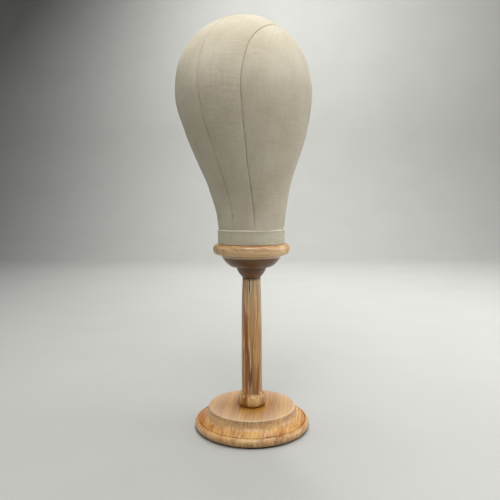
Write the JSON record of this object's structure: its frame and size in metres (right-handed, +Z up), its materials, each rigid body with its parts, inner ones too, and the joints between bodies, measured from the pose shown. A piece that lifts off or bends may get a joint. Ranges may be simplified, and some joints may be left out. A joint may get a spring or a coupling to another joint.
{
  "type": "canvas block head on turned wooden stand",
  "caption": "Faceless stuffed canvas block head that turns on and lifts off a shouldered peg in a turned wooden table stand, for wigs, hats and hair practice.",
  "frame": {"origin": "centre of the stand's underside, on the surface that it stands on", "axes": "+Z up along the column's axis, -Y towards the face side, +X towards the head's own left ear"},
  "size_m": [0.163, 0.1914, 0.5306],
  "materials": {
    "stand_wood": "honey-coloured pine under clear gloss varnish",
    "peg_wood": "turned beech, unvarnished and waxed",
    "plug_wood": "turned softwood, bare",
    "canvas": "plain-woven cream cotton canvas, matte",
    "band_tape": "plain cotton tape, matte",
    "stuffing_chips": "packed sawdust and wood wool",
    "felt": "pressed wool felt, matte",
    "steel": "zinc-plated steel",
    "brass": "plain brass"
  },
  "bodies": {
    "stand": {"base_felt": "felt", "base": "stand_wood", "column_screw": "steel", "column_washer": "steel", "column": "stand_wood", "capital": "stand_wood", "head_plate": "stand_wood", "plate_screw_1": "brass", "plate_screw_2": "brass", "plate_screw_3": "brass", "plate_screw_4": "brass"},
    "peg": {"swivel_peg": "peg_wood"},
    "head": {"neck_plug": "plug_wood", "socket_tube": "steel", "stuffing": "stuffing_chips", "front_panel_left": "canvas", "front_panel_right": "canvas", "side_panel_left": "canvas", "side_panel_right": "canvas", "back_panel_left": "canvas", "back_panel_right": "canvas", "neck_hem": "canvas", "neck_band": "band_tape", "neck_tack_1": "steel", "neck_tack_2": "steel", "neck_tack_3": "steel", "neck_tack_4": "steel", "neck_tack_5": "steel", "neck_tack_6": "steel", "neck_tack_7": "steel", "neck_tack_8": "steel"}
  },
  "joints": [
    {"name": "head_turn", "type": "hinge", "parent": "stand", "child": "peg", "pos_m": [0, 0, 0.2421], "axis": [0, 0, 1], "continuous": true},
    {"name": "head_lift", "type": "slide", "parent": "peg", "child": "head", "axis": [0, 0, 1], "range_m": [0, 0.07]}
  ]
}
